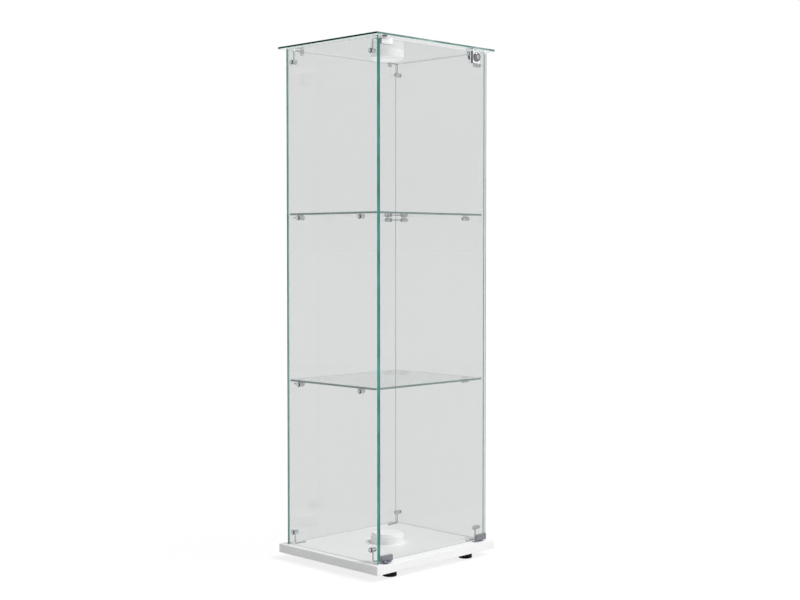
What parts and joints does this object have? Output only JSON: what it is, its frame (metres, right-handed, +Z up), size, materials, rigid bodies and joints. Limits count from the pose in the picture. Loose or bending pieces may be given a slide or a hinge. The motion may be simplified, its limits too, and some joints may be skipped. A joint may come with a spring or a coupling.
{
  "type": "glass display cabinet",
  "caption": "Tall frameless glass display cabinet with a white base on feet, glass shelves, a pivot-hung glass door with a cam lock, bent-rod connectors and puck lights.",
  "frame": {"origin": "on the floor under the middle of the cabinet's plan", "axes": "+Z up, -Y towards the person who opens the door, +X to the right seen from the front"},
  "size_m": [0.425, 0.365, 1.313],
  "materials": {
    "clear_glass": "clear float glass with polished pale green edges",
    "chrome": "polished chrome plate",
    "steel": "bright zinc plated steel",
    "satin_steel": "satin nickel",
    "clear_plastic": "clear soft plastic",
    "black_plastic": "matt black moulded plastic",
    "dark_plastic": "dark moulded plastic",
    "white_laminate": "white laminate on board",
    "white_plastic": "white moulded plastic, slight gloss",
    "white_lens": "translucent white plastic, frosted",
    "circuit_board": "green circuit board",
    "battery_can": "printed steel can, no lettering"
  },
  "bodies": {
    "cabinet": {"left_panel": "clear_glass", "right_panel": "clear_glass", "back_panel": "clear_glass", "top_panel": "clear_glass", "lower_shelf": "clear_glass", "upper_shelf": "clear_glass", "base_posts": "chrome", "top_posts": "chrome", "ceiling_posts": "chrome", "lower_shelf_posts": "chrome", "upper_shelf_posts": "chrome", "base_rod_front_left": "chrome", "base_rod_front_right": "chrome", "base_rod_back_left": "chrome", "base_rod_back_right": "chrome", "top_rod_front_left": "chrome", "top_rod_front_right": "chrome", "top_rod_back_left": "chrome", "top_rod_back_right": "chrome", "lower_corner_rod_left": "chrome", "lower_corner_rod_right": "chrome", "upper_corner_rod_left": "chrome", "upper_corner_rod_right": "chrome", "panel_screws": "steel", "post_grubs": "steel", "base_rod_screws": "steel", "foot_screws": "steel", "lock_strike": "steel", "panel_grommets": "clear_plastic", "shelf_pads": "clear_plastic", "ceiling_pads": "clear_plastic", "foot_front_left": "black_plastic", "foot_front_right": "black_plastic", "foot_back_left": "black_plastic", "foot_back_right": "black_plastic", "pivot_bushes": "dark_plastic", "door_magnet": "dark_plastic", "base_board": "white_laminate", "lower_light_back": "white_plastic", "lower_light_ring": "white_plastic", "lower_light_board": "circuit_board", "lower_light_cells": "battery_can", "upper_light_back": "white_plastic", "upper_light_ring": "white_plastic", "upper_light_board": "circuit_board", "upper_light_cells": "battery_can"},
    "door": {"door_glass": "clear_glass", "lower_hinge_clip": "satin_steel", "upper_hinge_clip": "satin_steel", "strike_clip": "satin_steel", "hinge_pins": "steel", "clip_liners": "clear_plastic", "clip_screws": "steel", "lock_body": "chrome", "lock_nut": "steel"},
    "lock": {"lock_plug": "chrome", "lock_cam": "steel", "cam_screw": "steel"},
    "lower_lens": {"lower_light_lens": "white_lens"},
    "upper_lens": {"upper_light_lens": "white_lens"}
  },
  "joints": [
    {"name": "door_swing", "type": "hinge", "parent": "cabinet", "child": "door", "pos_m": [-0.176, -0.1727, 0.039], "axis": [0, 0, -1], "range_deg": [0, 110]},
    {"name": "lock_turn", "type": "hinge", "parent": "door", "child": "lock", "pos_m": [0.15, -0.1665, 1.289], "axis": [0, 1, 0], "range_deg": [0, 90]},
    {"name": "lower_light_push", "type": "slide", "parent": "cabinet", "child": "lower_lens", "axis": [0, 0, -1], "range_m": [0, 0.002], "stiffness_N_per_m": 600, "springref_m": -0.002},
    {"name": "upper_light_push", "type": "slide", "parent": "cabinet", "child": "upper_lens", "axis": [0, 0, 1], "range_m": [0, 0.002], "stiffness_N_per_m": 600, "springref_m": -0.002}
  ]
}
